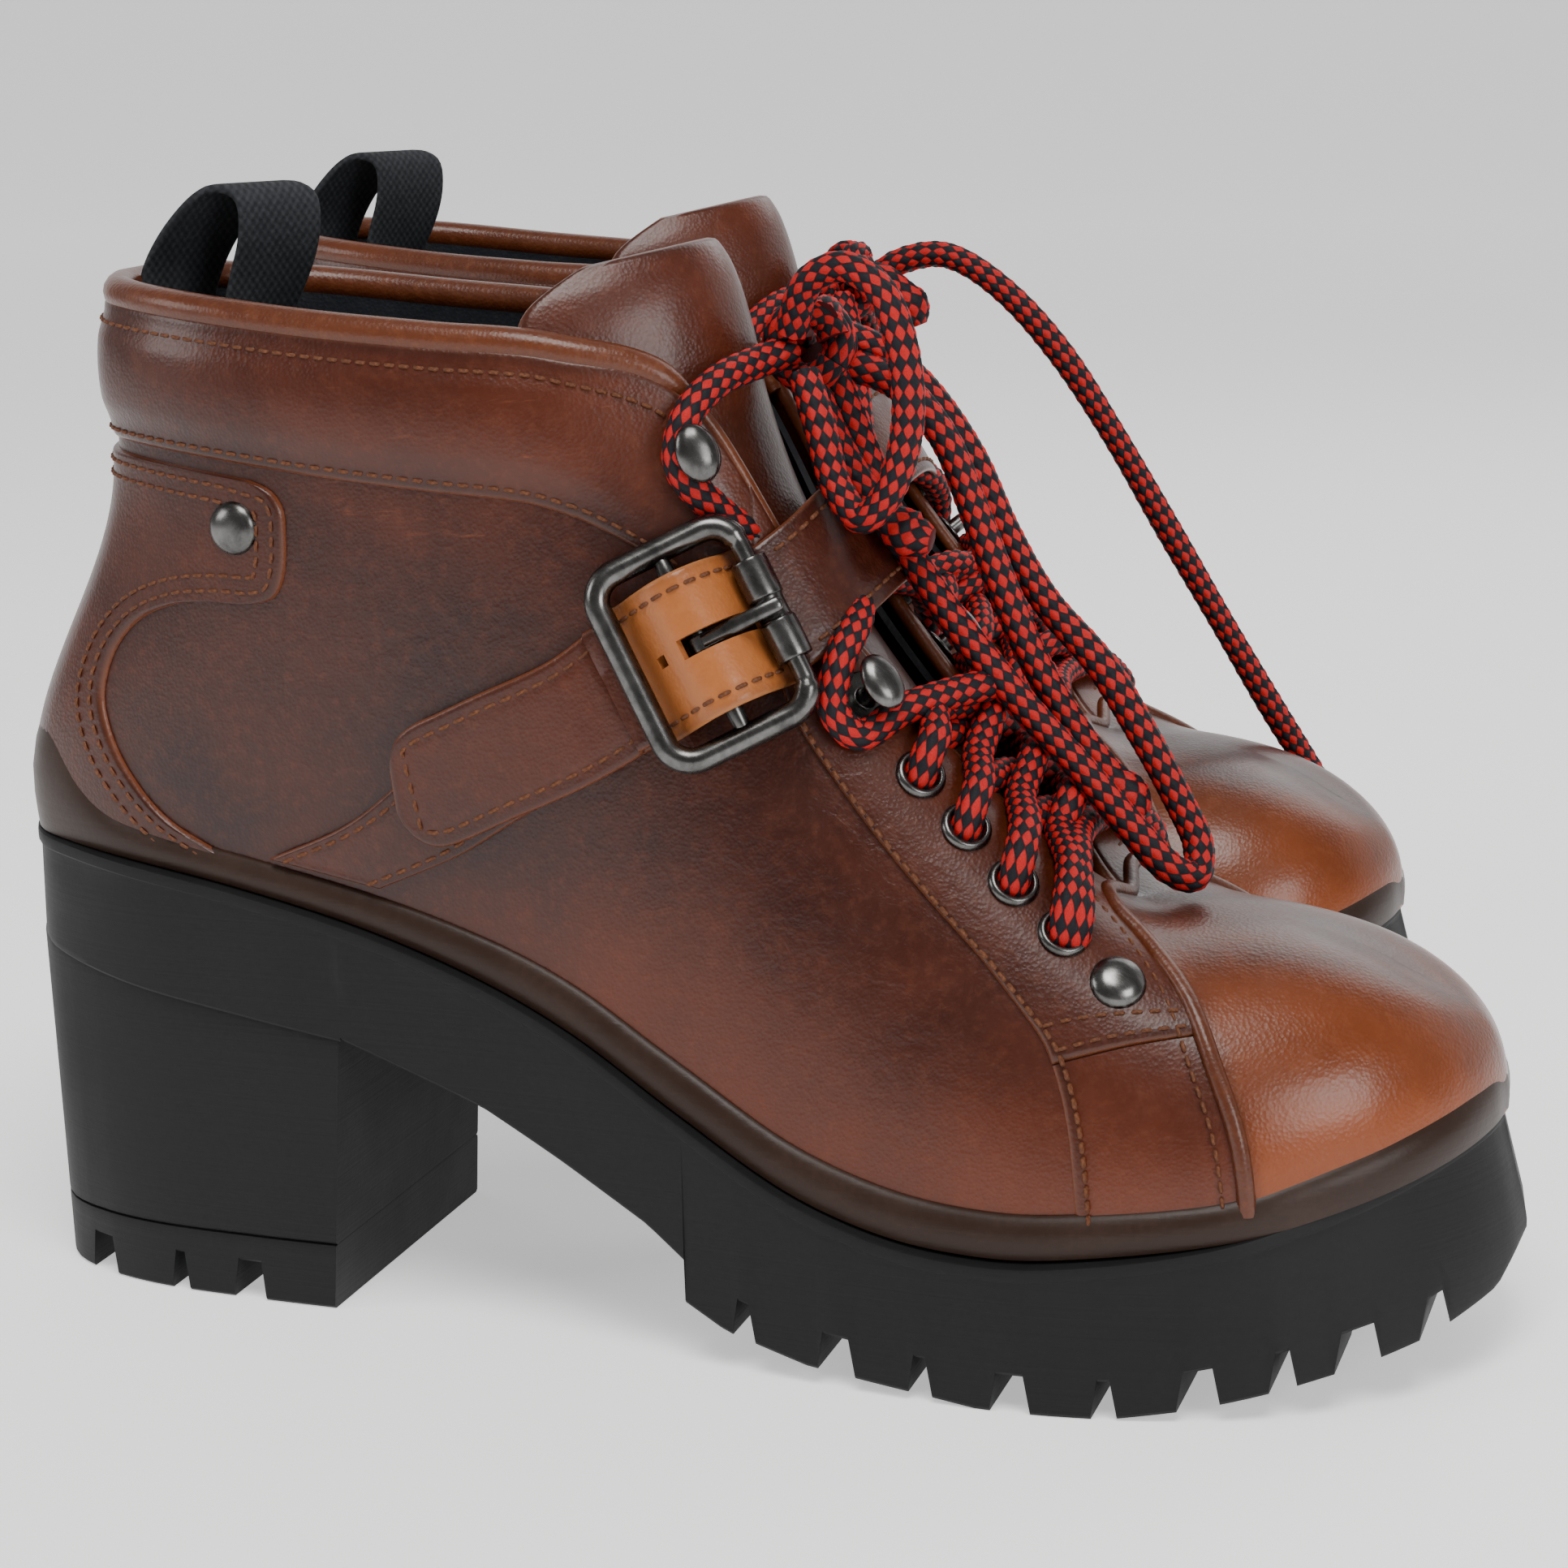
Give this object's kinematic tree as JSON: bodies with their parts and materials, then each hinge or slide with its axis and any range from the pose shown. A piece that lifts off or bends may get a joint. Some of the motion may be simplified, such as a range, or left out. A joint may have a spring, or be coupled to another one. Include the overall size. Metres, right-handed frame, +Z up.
{
  "type": "pair of heeled hiking boots",
  "caption": "Pair of ankle-high leather hiking boots with block heels, lugged soles, a buckled instep strap, and round laces tied at the top of the throat.",
  "frame": {"origin": "on the floor, midway between the two boots and midway along the pair", "axes": "+X towards the toes, +Y towards the left boot, +Z up"},
  "size_m": [0.313, 0.2681, 0.1979],
  "materials": {
    "sole_rubber": "matte black moulded rubber",
    "rand_rubber": "dull dark brown rubber",
    "board": "pressed fibre board",
    "lining_leather": "smooth dark leather",
    "stiffener": "stiffened fabric",
    "toe_leather": "burnished orange brown, satin",
    "brown_leather": "dark reddish brown, satin",
    "tan_leather": "tan, satin",
    "black_fabric": "matte black woven",
    "aged_metal": "dark aged, worn on the edges",
    "lace_fabric": "round braid, red with black flecks"
  },
  "bodies": {
    "right_boot": {"right_outsole": "sole_rubber", "right_heel_block": "sole_rubber", "right_heel_lift": "sole_rubber", "right_rand": "rand_rubber", "right_insole_board": "board", "right_footbed": "lining_leather", "right_heel_counter": "stiffener", "right_toe_puff": "stiffener", "right_toe_cap": "toe_leather", "right_vamp": "brown_leather", "right_eyestays": "brown_leather", "right_quarters": "brown_leather", "right_collar": "brown_leather", "right_counter_panel": "brown_leather", "right_tongue": "brown_leather", "right_lining": "black_fabric", "right_base_strap": "brown_leather", "right_billet_strap": "tan_leather", "right_buckle_frame": "aged_metal", "right_eyelets": "aged_metal", "right_lace_hooks": "aged_metal", "right_studs": "aged_metal", "right_pull_loop": "black_fabric", "right_lace": "lace_fabric", "right_loop_short": "lace_fabric", "right_loop_long": "lace_fabric", "right_tail_long": "lace_fabric", "right_tail_short": "lace_fabric"},
    "right_roller": {"right_buckle_roller": "aged_metal"},
    "right_prong": {"right_buckle_prong": "aged_metal"},
    "left_boot": {"left_outsole": "sole_rubber", "left_heel_block": "sole_rubber", "left_heel_lift": "sole_rubber", "left_rand": "rand_rubber", "left_insole_board": "board", "left_footbed": "lining_leather", "left_heel_counter": "stiffener", "left_toe_puff": "stiffener", "left_toe_cap": "toe_leather", "left_vamp": "brown_leather", "left_eyestays": "brown_leather", "left_quarters": "brown_leather", "left_collar": "brown_leather", "left_counter_panel": "brown_leather", "left_tongue": "brown_leather", "left_lining": "black_fabric", "left_base_strap": "brown_leather", "left_billet_strap": "tan_leather", "left_buckle_frame": "aged_metal", "left_eyelets": "aged_metal", "left_lace_hooks": "aged_metal", "left_studs": "aged_metal", "left_pull_loop": "black_fabric", "left_lace": "lace_fabric", "left_loop_front": "lace_fabric", "left_loop_back": "lace_fabric", "left_tail_long": "lace_fabric", "left_tail_short": "lace_fabric"},
    "left_roller": {"left_buckle_roller": "aged_metal"},
    "left_prong": {"left_buckle_prong": "aged_metal"}
  },
  "joints": [
    {"name": "right_prong_turn", "type": "hinge", "parent": "right_boot", "child": "right_prong", "pos_m": [0.02575, -0.1027, 0.1236], "axis": [0.4733, -0.113, -0.8736], "range_deg": [0, 75]},
    {"name": "right_roller_turn", "type": "hinge", "parent": "right_boot", "child": "right_roller", "pos_m": [0.03647, -0.09804, 0.12881], "axis": [-0.4733, 0.113, 0.8736], "continuous": true},
    {"name": "left_prong_turn", "type": "hinge", "parent": "left_boot", "child": "left_prong", "pos_m": [-0.01025, 0.1027, 0.1236], "axis": [-0.4733, -0.113, 0.8736], "range_deg": [0, 75]},
    {"name": "left_roller_turn", "type": "hinge", "parent": "left_boot", "child": "left_roller", "pos_m": [0.00047, 0.09804, 0.12881], "axis": [0.4733, 0.113, -0.8736], "continuous": true},
    {"name": "left_boot_lift", "type": "slide", "parent": "right_boot", "child": "left_boot", "axis": [0, 0, 1], "range_m": [0, 0.3]}
  ]
}
